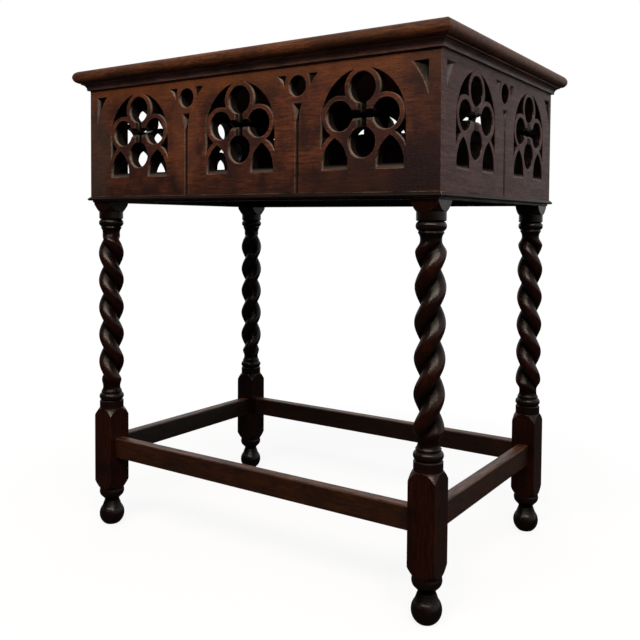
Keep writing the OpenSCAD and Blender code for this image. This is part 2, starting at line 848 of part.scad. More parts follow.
top_board_front();
top_board_middle();
top_board_back();
cove_front();
cove_back();
cove_left();
cove_right();
frieze_front();
frieze_back();
frieze_left();
frieze_right();
back_lining();
base_moulding_front();
base_moulding_back();
base_moulding_left();
base_moulding_right();
leg_front_left();
leg_front_right();
leg_back_left();
leg_back_right();
stretcher_front();
stretcher_back();
stretcher_left();
stretcher_right();
glue_blocks();
top_screws();
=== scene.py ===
"""A Gothic side table in dark waxed oak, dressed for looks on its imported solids.

A moulded top lies on a box of four pierced tracery boards, which stands on four legs with
double twist shafts, tied by four low stretchers. Lengths are in metres and angles in degrees
unless a comment says otherwise. X runs along the long side, Y from the front to the back.
"""

import logging
import math
from dataclasses import dataclass, replace
from enum import Enum
from typing import Iterable, Optional, Sequence, Union

import bmesh
import bpy
from bmesh.types import BMEdge, BMesh
from bpy.types import Material, Mesh, Node, NodeSocket, NodeTree, Object
from mathutils import Matrix, Vector


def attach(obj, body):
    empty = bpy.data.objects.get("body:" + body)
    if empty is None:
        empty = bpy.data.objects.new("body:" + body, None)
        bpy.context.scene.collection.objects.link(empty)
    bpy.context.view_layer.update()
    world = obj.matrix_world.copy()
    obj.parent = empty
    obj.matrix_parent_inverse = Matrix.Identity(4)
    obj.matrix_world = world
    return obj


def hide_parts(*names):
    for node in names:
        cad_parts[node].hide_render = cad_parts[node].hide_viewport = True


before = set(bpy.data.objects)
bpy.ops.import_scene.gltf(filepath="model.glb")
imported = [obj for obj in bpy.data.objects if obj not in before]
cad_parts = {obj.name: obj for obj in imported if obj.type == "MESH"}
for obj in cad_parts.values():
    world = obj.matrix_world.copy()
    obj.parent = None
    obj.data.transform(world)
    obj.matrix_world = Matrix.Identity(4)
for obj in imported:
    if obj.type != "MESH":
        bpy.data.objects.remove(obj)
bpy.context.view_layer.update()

logging.basicConfig(level=logging.INFO, format="%(message)s")
LOG = logging.getLogger("side_table")

MM = 0.001
ROOT = "root"
WHITE = "#ffffff"
# The sRGB curve: a straight foot up to a limit, and a power of the colour above it
SRGB_LIMIT, SRGB_SLOPE, SRGB_OFFSET, SRGB_POWER = 0.04045, 12.92, 0.055, 2.4
# Points nearer to each other than this are merged, and faces that bend less are one flat face
MERGE_DISTANCE = 0.02 * MM
FLAT_BEND = 0.3
# A point this near to a cutting plane lies on it
CUT_TOLERANCE = 0.01 * MM
# A solid's edges that bend more than the sharp bend are corners; from the least bend up to it,
# they are the steps of a curve
SHARP_BEND = 28.0
LEAST_BEND = 1.0
# A face is narrow where its area is below this width times its perimeter
NARROW_WIDTH = 4 * MM
EASE_STEPS = 2
# Edges that bend more than these are shaded sharp, on eased and on turned pieces
EASED_SHARP = 40.0
TURNED_SHARP = 30.0
Value = Union[float, Sequence[float], NodeSocket, Material]


def linear(code: str) -> tuple[float, float, float, float]:
    """Turns an sRGB hex colour into the linear colour that the shaders take.

    Args:
        code: The colour as "#rrggbb".

    Returns:
        Linear red, green and blue, and an alpha of 1.
    """
    parts = [int(code[i:i + 2], 16) / 255 for i in (1, 3, 5)]
    red, green, blue = (
        part / SRGB_SLOPE if part <= SRGB_LIMIT
        else ((part + SRGB_OFFSET) / (1 + SRGB_OFFSET)) ** SRGB_POWER for part in parts)
    return red, green, blue, 1.0


def add(tree: NodeTree, kind: str, values: dict[Union[str, int], Value],
        **settings: object) -> Node:
    """Adds one node to a tree, with its settings, its values and its links.

    Args:
        tree: The tree that gets the node.
        kind: The name of the node's type.
        values: For each input, by name or place, a value or the socket that feeds it.
        settings: Properties of the node itself.

    Returns:
        The new node.
    """
    node = tree.nodes.new(kind)
    for name, setting in settings.items():
        setattr(node, name, setting)
    for key, value in values.items():
        if isinstance(value, NodeSocket):
            tree.links.new(value, node.inputs[key])
        else:
            node.inputs[key].default_value = value
    return node


def blank_material(name: str) -> tuple[Material, NodeTree]:
    """Starts a procedural material.

    Args:
        name: The finish's name.

    Returns:
        The material and its empty tree.
    """
    made = bpy.data.materials.new(name)
    made.use_nodes = True
    made.node_tree.nodes.clear()
    return made, made.node_tree


class Grain(Enum):
    """The direction that the oak's fibres run in, as the stretch of a pattern on each axis."""

    ALONG_X = (0.1, 1.0, 1.0)
    ALONG_Y = (1.0, 0.1, 1.0)
    ALONG_Z = (1.0, 1.0, 0.1)


class Side(Enum):
    """A side of the table, as the end of a node's name."""

    FRONT = "front"
    BACK = "back"
    LEFT = "left"
    RIGHT = "right"

    @property
    def grain(self) -> Grain:
        """The way that the wood runs in a board on this side."""
        return Grain.ALONG_X if self in (Side.FRONT, Side.BACK) else Grain.ALONG_Y


class Keep(Enum):
    """The part of a cut mesh that stays."""

    ABOVE = 1
    BELOW = -1


@dataclass(frozen=True)
class BoxRecess:
    """Measures how far a point of a box's boards lies behind their outer faces."""

    half_x: float
    half_y: float

    def depth(self, tree: NodeTree, place: NodeSocket) -> NodeSocket:
        """Adds the measure to a material.

        Args:
            tree: The material's tree.
            place: The point, in Object coordinates.

        Returns:
            The depth in metres, below zero outside the box.
        """
        away = add(tree, "ShaderNodeVectorMath", {0: place}, operation="ABSOLUTE")
        left = add(tree, "ShaderNodeVectorMath", {
            0: (self.half_x, self.half_y, 0.0), 1: away.outputs[0]}, operation="SUBTRACT")
        axes = add(tree, "ShaderNodeSeparateXYZ", {0: left.outputs[0]})
        return add(tree, "ShaderNodeMath", {
            0: axes.outputs[0], 1: axes.outputs[1]}, operation="MINIMUM").outputs[0]


@dataclass(frozen=True)
class ShaftRecess:
    """Measures how far a point of the four shafts lies inside their greatest radius."""

    axis_x: float
    axis_y: float
    radius: float

    def depth(self, tree: NodeTree, place: NodeSocket) -> NodeSocket:
        """Adds the measure to a material.

        Args:
            tree: The material's tree.
            place: The point, in Object coordinates.

        Returns:
            The depth in metres, below zero outside the radius.
        """
        folded = add(tree, "ShaderNodeVectorMath", {0: place}, operation="ABSOLUTE")
        beside = add(tree, "ShaderNodeVectorMath", {
            0: folded.outputs[0], 1: (self.axis_x, self.axis_y, 0.0)}, operation="SUBTRACT")
        flat = add(tree, "ShaderNodeVectorMath", {
            0: beside.outputs[0], 1: (1.0, 1.0, 0.0)}, operation="MULTIPLY")
        away = add(tree, "ShaderNodeVectorMath", {0: flat.outputs[0]}, operation="LENGTH")
        return add(tree, "ShaderNodeMath", {
            0: self.radius, 1: away.outputs["Value"]}, operation="SUBTRACT").outputs[0]


@dataclass(frozen=True)
class HeightBand:
    """A tint that grows with height: none at the first height, its full share at the second."""

    colour: str
    start: float
    full: float
    share: float

    def tinted(self, tree: NodeTree, place: NodeSocket, wood: NodeSocket) -> NodeSocket:
        """Adds the tint to a material.

        Args:
            tree: The material's tree.
            place: The point, in Object coordinates.
            wood: The colour without the tint.

        Returns:
            The tinted colour.
        """
        axes = add(tree, "ShaderNodeSeparateXYZ", {0: place})
        grown = add(tree, "ShaderNodeMapRange", {
            "Value": axes.outputs[2], "From Min": self.start, "From Max": self.full,
            "To Max": self.share})
        return add(tree, "ShaderNodeMix", {
            0: grown.outputs[0], 6: wood, 7: linear(self.colour)}, data_type="RGBA").outputs[2]


@dataclass(frozen=True)
class Stain:
    """A soft-edged patch of another tint round a place, broken up by a pattern."""

    colour: str
    middle: tuple[float, float, float]
    reach: tuple[float, float, float]
    share: float
    broken: float = 0.9
    pattern_width: float = 22 * MM
    full_within: float = 0.5

    def tinted(self, tree: NodeTree, place: NodeSocket, wood: NodeSocket) -> NodeSocket:
        """Adds the patch to a material.

        Args:
            tree: The material's tree.
            place: The point, in Object coordinates.
            wood: The colour without the patch.

        Returns:
            The tinted colour.
        """
        away = add(tree, "ShaderNodeVectorMath", {0: place, 1: self.middle}, operation="SUBTRACT")
        shares = add(tree, "ShaderNodeVectorMath", {
            0: away.outputs[0], 1: self.reach}, operation="DIVIDE")
        far = add(tree, "ShaderNodeVectorMath", {0: shares.outputs[0]}, operation="LENGTH")
        pattern = add(tree, "ShaderNodeTexNoise", {
            "Vector": place, "Scale": 1 / self.pattern_width, "Detail": 5.0, "Roughness": 0.65})
        ragged = add(tree, "ShaderNodeMath", {
            0: pattern.outputs["Fac"], 1: self.broken, 2: far.outputs["Value"]},
            operation="MULTIPLY_ADD")
        # The pattern is about a half on average, which this takes off again
        even = self.broken / 2
        grown = add(tree, "ShaderNodeMapRange", {
            "Value": ragged.outputs[0], "From Min": 1 + even, "From Max": self.full_within + even,
            "To Max": self.share}, interpolation_type="SMOOTHSTEP")
        return add(tree, "ShaderNodeMix", {
            0: grown.outputs[0], 6: wood, 7: linear(self.colour)}, data_type="RGBA").outputs[2]


@dataclass(frozen=True)
class OakPatterns:
    """The places and patterns that an oak finish reads for its colour, gloss and relief."""

    place: NodeSocket
    facing: NodeSocket
    figure: NodeSocket
    lines: NodeSocket
    tone: NodeSocket
    clouds: NodeSocket
    open_pores: NodeSocket


@dataclass(frozen=True)
class WaxedOak:
    """Old oak, fumed or stained nearly black-brown, sanded, oiled and waxed by hand.

    The eye sees brown with darker late-wood lines every 2 mm or so, short dark open pores
    along the grain, cloudy darker patches where polish and dirt have built up, paler worn
    edges, and a soft sheen that breaks up over the pores. Carved recesses are painted nearly
    black, for old wax and for the shade in them, and the walls just inside them that face the
    light are painted pale grey, for dust and for a highlight. A range is two values of a
    pattern or a direction, between which what it is named for grows to its full share.
    """

    name: str
    grain: Grain
    light: str
    dark: str
    cloud: str
    pore: str
    worn: str
    roughness: float
    specular: float
    figure_width: float = 5 * MM
    line_width: float = 1.6 * MM
    tone_range: tuple[float, float] = (0.65, 1.35)
    # Real pores are 0.3 mm wide; 0.6 mm is as fine as shows in a picture of the whole table
    pore_width: float = 0.6 * MM
    pore_range: tuple[float, float] = (0.56, 0.7)
    pore_share: float = 0.7
    cloud_width: float = 60 * MM
    cloud_range: tuple[float, float] = (0.42, 0.66)
    cloudiness: float = 0.7
    rubbed_range: tuple[float, float] = (0.4, 0.62)
    # Upper faces are paler, partly from wear and partly as a painted highlight
    upward_range: tuple[float, float] = (0.3, 0.8)
    top_wear_and_highlight: float = 0.0
    # Darker wood is rougher than lighter wood by up to twice the spread
    gloss_range: tuple[float, float] = (0.7, 1.3)
    gloss_spread: float = 0.08
    relief: float = 0.25 * MM
    relief_strength: float = 0.5
    tints: tuple[Union[HeightBand, Stain], ...] = ()
    recess: Optional[Union[BoxRecess, ShaftRecess]] = None
    recess_from: float = 0.3 * MM
    recess_to: float = 1.6 * MM
    # Old wax and painted shade make the recesses nearly black
    grime_and_shade: str = "#060302"
    grime_and_shade_share: float = 0.97
    recess_sheen: float = 0.15
    recess_roughness: float = 0.6
    # Pale grey dust with a painted highlight, on walls that face the light
    dust_and_highlight: str = "#968980"
    dust_and_highlight_share: float = 0.9
    # Dust and a painted highlight lie on walls that face this way, towards the light, thick down
    # to one depth and nearly gone at the other
    dust_and_light_side: tuple[float, float, float] = (0.6, 0.3, 0.74)
    dust_and_light_facing_range: tuple[float, float] = (0.15, 0.65)
    dust_and_highlight_from: float = 1.6 * MM
    dust_and_highlight_to: float = 4.5 * MM
    dust_and_highlight_left_deep: float = 0.04
    dust_and_highlight_figure_range: tuple[float, float] = (0.3, 0.6)
    dust_and_highlight_left_thin: float = 0.55

    def material(self) -> Material:
        """Builds the finish as a procedural material.

        Returns:
            The material, whose patterns all read Object coordinates.
        """
        made, tree = blank_material(self.name)
        seen = self.patterns(tree)
        colour = self.rubbed(tree, seen, self.stained(tree, seen))
        gloss = add(tree, "ShaderNodeMapRange", {
            "Value": seen.tone, "From Min": self.gloss_range[0], "From Max": self.gloss_range[1],
            "To Min": self.roughness + self.gloss_spread,
            "To Max": self.roughness - self.gloss_spread}).outputs[0]
        sheen: Value = self.specular
        if self.recess:
            colour, deep = self.soiled_and_shaded(tree, seen, colour)
            sheen = add(tree, "ShaderNodeMapRange", {
                "Value": deep, "To Min": self.specular,
                "To Max": self.specular * self.recess_sheen}).outputs[0]
            gloss = add(tree, "ShaderNodeMapRange", {
                "Value": deep, "To Min": gloss, "To Max": self.recess_roughness}).outputs[0]
        height = add(tree, "ShaderNodeMath", {
            0: seen.lines, 1: seen.open_pores}, operation="SUBTRACT")
        bump = add(tree, "ShaderNodeBump", {
            "Strength": self.relief_strength, "Distance": self.relief,
            "Height": height.outputs[0]})
        shader = add(tree, "ShaderNodeBsdfPrincipled", {
            "Base Color": colour, "Roughness": gloss, "Specular IOR Level": sheen,
            "Normal": bump.outputs[0]})
        add(tree, "ShaderNodeOutputMaterial", {"Surface": shader.outputs[0]})
        return made

    def both_ways(self) -> dict[Grain, Material]:
        """Builds the finish and a second one for wood along Y, each under its grain."""
        turned = replace(self, name=self.name + "_sides", grain=Grain.ALONG_Y)
        return {self.grain: self.material(), turned.grain: turned.material()}

    def patterns(self, tree: NodeTree) -> OakPatterns:
        """Adds the wood's patterns to a material.

        Args:
            tree: The material's tree.

        Returns:
            The sockets that give them.
        """
        coordinates = add(tree, "ShaderNodeTexCoord", {}).outputs
        place = coordinates["Object"]
        along = add(tree, "ShaderNodeMapping", {
            "Vector": place, "Scale": self.grain.value}).outputs[0]
        figure = add(tree, "ShaderNodeTexNoise", {
            "Vector": along, "Scale": 1 / self.figure_width, "Detail": 4.0, "Roughness": 0.6,
            "Distortion": 0.5}).outputs["Fac"]
        lines = add(tree, "ShaderNodeTexNoise", {
            "Vector": along, "Scale": 1 / self.line_width, "Detail": 3.0,
            "Roughness": 0.6}).outputs["Fac"]
        tone = add(tree, "ShaderNodeMath", {0: figure, 1: lines}).outputs[0]
        pores = add(tree, "ShaderNodeTexNoise", {
            "Vector": along, "Scale": 1 / self.pore_width, "Detail": 1.0,
            "Roughness": 0.4}).outputs["Fac"]
        open_pores = add(tree, "ShaderNodeMapRange", {
            "Value": pores, "From Min": self.pore_range[0], "From Max": self.pore_range[1],
            "To Max": self.pore_share}, interpolation_type="SMOOTHSTEP").outputs[0]
        clouds = add(tree, "ShaderNodeTexNoise", {
            "Vector": place, "Scale": 1 / self.cloud_width, "Detail": 4.0,
            "Roughness": 0.55}).outputs["Fac"]
        return OakPatterns(place, coordinates["Normal"], figure, lines, tone, clouds, open_pores)

    def stained(self, tree: NodeTree, seen: OakPatterns) -> NodeSocket:
        """Adds the colour of the wood with its clouds, tints and pores.

        Args:
            tree: The material's tree.
            seen: Its patterns.

        Returns:
            The colour.
        """
        share = add(tree, "ShaderNodeMapRange", {
            "Value": seen.tone, "From Min": self.tone_range[0], "From Max": self.tone_range[1]},
            interpolation_type="SMOOTHSTEP")
        body = add(tree, "ShaderNodeMix", {
            0: share.outputs[0], 6: linear(self.dark), 7: linear(self.light)}, data_type="RGBA")
        cloud = add(tree, "ShaderNodeMapRange", {
            "Value": seen.clouds, "From Min": self.cloud_range[0],
            "From Max": self.cloud_range[1], "To Max": self.cloudiness},
            interpolation_type="SMOOTHSTEP")
        wood = add(tree, "ShaderNodeMix", {
            0: cloud.outputs[0], 6: body.outputs[2], 7: linear(self.cloud)},
            data_type="RGBA").outputs[2]
        for tint in self.tints:
            wood = tint.tinted(tree, seen.place, wood)
        return add(tree, "ShaderNodeMix", {
            0: seen.open_pores, 6: wood, 7: linear(self.pore)}, data_type="RGBA").outputs[2]

    def rubbed(self, tree: NodeTree, seen: OakPatterns, wood: NodeSocket) -> NodeSocket:
        """Adds the paler wood on rounded edges, and on upper faces, where it is partly wear and
        partly a painted highlight.

        Args:
            tree: The material's tree.
            seen: Its patterns.
            wood: The colour of the unworn wood.

        Returns:
            The colour with the wear.
        """
        spotted = add(tree, "ShaderNodeMapRange", {
            "Value": seen.figure, "From Min": self.rubbed_range[0],
            "From Max": self.rubbed_range[1]})
        edge = add(tree, "ShaderNodeAttribute", {}, attribute_name="edge")
        edge_wear = add(tree, "ShaderNodeMath", {
            0: edge.outputs["Fac"], 1: spotted.outputs[0]}, operation="MULTIPLY")
        axes = add(tree, "ShaderNodeSeparateXYZ", {0: seen.facing})
        facing_light = add(tree, "ShaderNodeMapRange", {
            "Value": axes.outputs[2], "From Min": self.upward_range[0],
            "From Max": self.upward_range[1], "To Max": self.top_wear_and_highlight})
        top_wear_and_highlight = add(tree, "ShaderNodeMath", {
            0: facing_light.outputs[0], 1: spotted.outputs[0]}, operation="MULTIPLY")
        wear = add(tree, "ShaderNodeMath", {
            0: edge_wear.outputs[0], 1: top_wear_and_highlight.outputs[0]}, operation="ADD", use_clamp=True)
        return add(tree, "ShaderNodeMix", {
            0: wear.outputs[0], 6: wood, 7: linear(self.worn)}, data_type="RGBA").outputs[2]

    def soiled_and_shaded(self, tree: NodeTree, seen: OakPatterns,
               clean: NodeSocket) -> tuple[NodeSocket, NodeSocket]:
        """Adds the old wax and painted shade in the recesses, and the dust and painted highlight
        on the walls just inside them that face the light.

        Args:
            tree: The material's tree.
            seen: Its patterns.
            clean: The colour of the clean wood.

        Returns:
            The colour with the wax, painted shade, dust and painted highlight, and how far each
            point is darkened.
        """
        depth = self.recess.depth(tree, seen.place)
        deep = add(tree, "ShaderNodeMapRange", {
            "Value": depth, "From Min": self.recess_from, "From Max": self.recess_to,
            "To Max": self.grime_and_shade_share}).outputs[0]
        # Old wax and painted shade, by depth below the outer face
        waxed_and_shaded = add(tree, "ShaderNodeMix", {
            0: deep, 6: clean, 7: linear(self.grime_and_shade)}, data_type="RGBA")
        # Walls that face the light get pale dust and a painted highlight
        towards = add(tree, "ShaderNodeVectorMath", {
            0: seen.facing, 1: self.dust_and_light_side}, operation="DOT_PRODUCT")
        facing_light = add(tree, "ShaderNodeMapRange", {
            "Value": towards.outputs["Value"], "From Min": self.dust_and_light_facing_range[0],
            "From Max": self.dust_and_light_facing_range[1], "To Max": self.dust_and_highlight_share},
            interpolation_type="SMOOTHSTEP")
        broken = add(tree, "ShaderNodeMapRange", {
            "Value": seen.figure, "From Min": self.dust_and_highlight_figure_range[0],
            "From Max": self.dust_and_highlight_figure_range[1], "To Min": self.dust_and_highlight_left_thin})
        dust_and_light_facing = add(tree, "ShaderNodeMath", {
            0: facing_light.outputs[0], 1: broken.outputs[0]}, operation="MULTIPLY")
        shallow = add(tree, "ShaderNodeMapRange", {
            "Value": depth, "From Min": self.dust_and_highlight_to, "From Max": self.dust_and_highlight_from,
            "To Min": self.dust_and_highlight_left_deep})
        shown = add(tree, "ShaderNodeMath", {
            0: dust_and_light_facing.outputs[0], 1: shallow.outputs[0]}, operation="MULTIPLY")
        dust_and_highlight_mask = add(tree, "ShaderNodeMath", {0: shown.outputs[0], 1: deep}, operation="MULTIPLY")
        return add(tree, "ShaderNodeMix", {
            0: dust_and_highlight_mask.outputs[0], 6: waxed_and_shaded.outputs[2], 7: linear(self.dust_and_highlight)},
            data_type="RGBA").outputs[2], deep


@dataclass(frozen=True)
class AgedSoftwood:
    """Sawn softwood left bare under the top, gone tan with age, with soft growth lines."""

    name: str = "aged_softwood"
    dark: str = "#5d442b"
    light: str = "#8d6c48"
    roughness: float = 0.75
    line_width: float = 3 * MM
    relief: float = 0.3 * MM
    relief_strength: float = 0.4

    def material(self) -> Material:
        """Builds the finish as a procedural material.

        Returns:
            The material, whose lines read Object coordinates.
        """
        made, tree = blank_material(self.name)
        place = add(tree, "ShaderNodeTexCoord", {})
        along = add(tree, "ShaderNodeMapping", {
            "Vector": place.outputs["Object"], "Scale": Grain.ALONG_X.value})
        lines = add(tree, "ShaderNodeTexNoise", {
            "Vector": along.outputs[0], "Scale": 1 / self.line_width, "Detail": 3.0})
        tone = add(tree, "ShaderNodeMix", {
            0: lines.outputs["Fac"], 6: linear(self.dark), 7: linear(self.light)},
            data_type="RGBA")
        bump = add(tree, "ShaderNodeBump", {
            "Strength": self.relief_strength, "Distance": self.relief,
            "Height": lines.outputs["Fac"]})
        shader = add(tree, "ShaderNodeBsdfPrincipled", {
            "Base Color": tone.outputs[2], "Roughness": self.roughness,
            "Normal": bump.outputs[0]})
        add(tree, "ShaderNodeOutputMaterial", {"Surface": shader.outputs[0]})
        return made


@dataclass(frozen=True)
class DullSteel:
    """Old turned steel of the screws, grey with brown rust in cloudy spots."""

    name: str = "dull_steel"
    bare: str = "#8b8d90"
    rusty: str = "#4a3327"
    metallic: float = 0.9
    spot_width: float = 2 * MM
    spot_range: tuple[float, float] = (0.5, 0.65)
    bare_roughness: float = 0.35
    rusty_roughness: float = 0.8

    def material(self) -> Material:
        """Builds the finish as a procedural material.

        Returns:
            The material, whose spots read Object coordinates.
        """
        made, tree = blank_material(self.name)
        place = add(tree, "ShaderNodeTexCoord", {})
        spots = add(tree, "ShaderNodeTexNoise", {
            "Vector": place.outputs["Object"], "Scale": 1 / self.spot_width, "Detail": 4.0})
        rust = add(tree, "ShaderNodeMapRange", {
            "Value": spots.outputs["Fac"], "From Min": self.spot_range[0],
            "From Max": self.spot_range[1]})
        tone = add(tree, "ShaderNodeMix", {
            0: rust.outputs[0], 6: linear(self.bare), 7: linear(self.rusty)}, data_type="RGBA")
        gloss = add(tree, "ShaderNodeMapRange", {
            "Value": rust.outputs[0], "To Min": self.bare_roughness,
            "To Max": self.rusty_roughness})
        shader = add(tree, "ShaderNodeBsdfPrincipled", {
            "Base Color": tone.outputs[2], "Roughness": gloss.outputs[0],
            "Metallic": self.metallic})
        add(tree, "ShaderNodeOutputMaterial", {"Surface": shader.outputs[0]})
        return made


def dress(piece: Object, finish: Material) -> None:
    """Gives a piece one finish in its only material slot."""
    piece.data.materials.clear()
    piece.data.materials.append(finish)


def finished(name: str, mesh: Mesh, nodes: Iterable[str], finish: Material) -> None:
    """Makes a mesh a dressed piece of the table, which rides on the table's body.

    Args:
        name: The piece's name.
        mesh: Its mesh, already in its place.
        nodes: The solids that the piece stands for.
        finish: The piece's finish.
    """
    piece = bpy.data.objects.new(name, mesh)
    bpy.context.scene.collection.objects.link(piece)
    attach(piece, ROOT)
    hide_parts(*nodes)
    dress(piece, finish)
    LOG.info("%s: %d faces of %s", name, len(mesh.polygons), finish.name)


def keep_sharp(bm: BMesh, sharp_from: float) -> None:
    """Keeps edges sharp from an angle up.

    Args:
        bm: The mesh.
        sharp_from: The angle between two faces from which their edge stays sharp.
    """
    for edge in bm.edges:
        bend = edge.calc_face_angle(0) if edge.is_manifold else 0
        edge.smooth = bend <= math.radians(sharp_from)


def solid_copy(node: str) -> BMesh:
    """Copies a solid's mesh, merged and freed of the edges inside its flat faces.

    Args:
        node: The solid's name.

    Returns:
        The copy, to be freed by whoever takes it.
    """
    bm = bmesh.new()
    bm.from_mesh(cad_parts[node].data)
    bmesh.ops.remove_doubles(bm, verts=bm.verts, dist=MERGE_DISTANCE)
    bmesh.ops.dissolve_limit(
        bm, angle_limit=math.radians(FLAT_BEND), verts=bm.verts, edges=bm.edges)
    return bm


def cut_off(bm: BMesh, height: float, keep: Keep) -> None:
    """Cuts a closed mesh at a height and closes the cut.

    Args:
        bm: The mesh.
        height: The height of the cut.
        keep: The part that stays.
    """
    cut = bmesh.ops.bisect_plane(
        bm, geom=[*bm.verts, *bm.edges, *bm.faces], dist=CUT_TOLERANCE,
        plane_co=(0, 0, height), plane_no=(0, 0, -keep.value), clear_outer=True)
    rim = [e for e in cut["geom_cut"] if isinstance(e, BMEdge) and e.is_boundary]
    bmesh.ops.edgeloop_fill(bm, edges=rim)
    bmesh.ops.recalc_face_normals(bm, faces=bm.faces)


def eased(bm: BMesh, name: str, ease: float) -> Mesh:
    """Rounds a mesh's sharp edges a little, as wear and sanding leave them, and hands it over.

    Args:
        bm: The mesh, which is freed.
        name: Name of the mesh that is made.
        ease: Width of the rounding.

    Returns:
        A closed mesh whose rounded faces have 1 in their face attribute "edge".
    """
    worn = bm.faces.layers.float.new("edge")
    bends = {e: math.degrees(e.calc_face_angle(0)) for e in bm.edges if e.is_manifold}
    for face in bm.faces:
        # A wide flat face is shaded flat, so that its rounded edges don't tint it
        narrow = face.calc_area() < NARROW_WIDTH * face.calc_perimeter()
        face.smooth = narrow and any(
            LEAST_BEND < bends.get(edge, 0) <= SHARP_BEND for edge in face.edges)
    made = bmesh.ops.bevel(
        bm, geom=[edge for edge, bend in bends.items() if bend > SHARP_BEND], offset=ease,
        offset_type="OFFSET", segments=EASE_STEPS, profile=0.5, affect="EDGES",
        clamp_overlap=False, miter_outer="ARC", miter_inner="SHARP")
    for face in made["faces"]:
        face[worn] = 1.0
        face.smooth = True
    keep_sharp(bm, EASED_SHARP)
    for edge in bm.edges:
        # Where a rounding begins, the shading of the long face beside it has to stay as it is
        if len({face[worn] for face in edge.link_faces}) > 1:
            edge.smooth = False
    mesh = bpy.data.meshes.new(name)
    bm.to_mesh(mesh)
    bm.free()
    return mesh


def dress_node(node: str, ease: float, finish: Material) -> None:
    """Puts a dressed copy of a solid, with its edges rounded by a width, in its place."""
    finished(node + "_dressed", eased(solid_copy(node), node, ease), [node], finish)


def arc(x: float, y: float, r: float, start: float, end: float,
        steps: int = 16) -> list[tuple[float, float]]:
    """Places points on an arc.

    Args:
        x: The middle's distance from the axis.
        y: The middle's height.
        r: The arc's radius.
        start: The angle of the first point from the horizontal.
        end: The angle of the last point.
        steps: How many steps the arc has.

    Returns:
        The points, each as distance from the axis and height.
    """
    turns = (math.radians(start + (end - start) * i / steps) for i in range(steps + 1))
    return [(x + r * math.cos(turn), y + r * math.sin(turn)) for turn in turns]


def lathe(name: str, profile: Sequence[tuple[float, float]], sides: int) -> Mesh:
    """Turns a profile round the Z axis into a closed mesh.

    Args:
        name: Name of the mesh.
        profile: Distances from the axis and heights from the foot up, without the two ends
            on the axis.
        sides: How many sides the mesh has.

    Returns:
        The mesh, with sharp edges where the profile has corners.
    """
    turns = [math.tau * i / sides for i in range(sides)]
    points = [(r * math.cos(t), r * math.sin(t), z) for r, z in profile for t in turns]
    last = (len(profile) - 1) * sides
    walls = [(row + i, row + (i + 1) % sides, row + sides + (i + 1) % sides, row + sides + i)
             for row in range(0, last, sides) for i in range(sides)]
    ends = [tuple(range(sides - 1, -1, -1)), tuple(range(last, last + sides))]
    mesh = bpy.data.meshes.new(name)
    mesh.from_pydata(points, [], walls + ends)
    bm = bmesh.new()
    bm.from_mesh(mesh)
    for face in bm.faces:
        face.smooth = True
    keep_sharp(bm, TURNED_SHARP)
    bm.to_mesh(mesh)
    bm.free()
    return mesh


@dataclass
class TableTop:
    """The top of three glued boards with a full round nosing, and the cove moulding under it."""

    ease: float = 0.35 * MM
    slot: str = "oak_top"
    boards: tuple[str, ...] = ("top_board_front", "top_board_middle", "top_board_back")
    # Brown, worn paler on its edges
    oak: WaxedOak = WaxedOak(
        name="top_oak", grain=Grain.ALONG_X, light="#704125", dark="#2f180c", cloud="#27140d",
        pore="#150a06", worn="#80604b", roughness=0.48, specular=0.22, cloud_width=90 * MM,
        cloudiness=0.5, pore_share=0.9, pore_width=0.75 * MM)
    # A dull purple brown
    cove_oak: WaxedOak = WaxedOak(
        name="cove_oak", grain=Grain.ALONG_X, light="#674640", dark="#402823", cloud="#2a1916",
        pore="#1a0d0b", worn="#7a6258", roughness=0.42, specular=0.3)

    def build(self) -> None:
        """Builds and dresses the boards and the mouldings."""
        oak = self.oak.material()
        coves = self.cove_oak.both_ways()
        for node in self.boards:
            dress_node(node, self.ease, oak)
        for side in Side:
            dress_node("cove_" + side.value, self.ease, coves[side.grain])


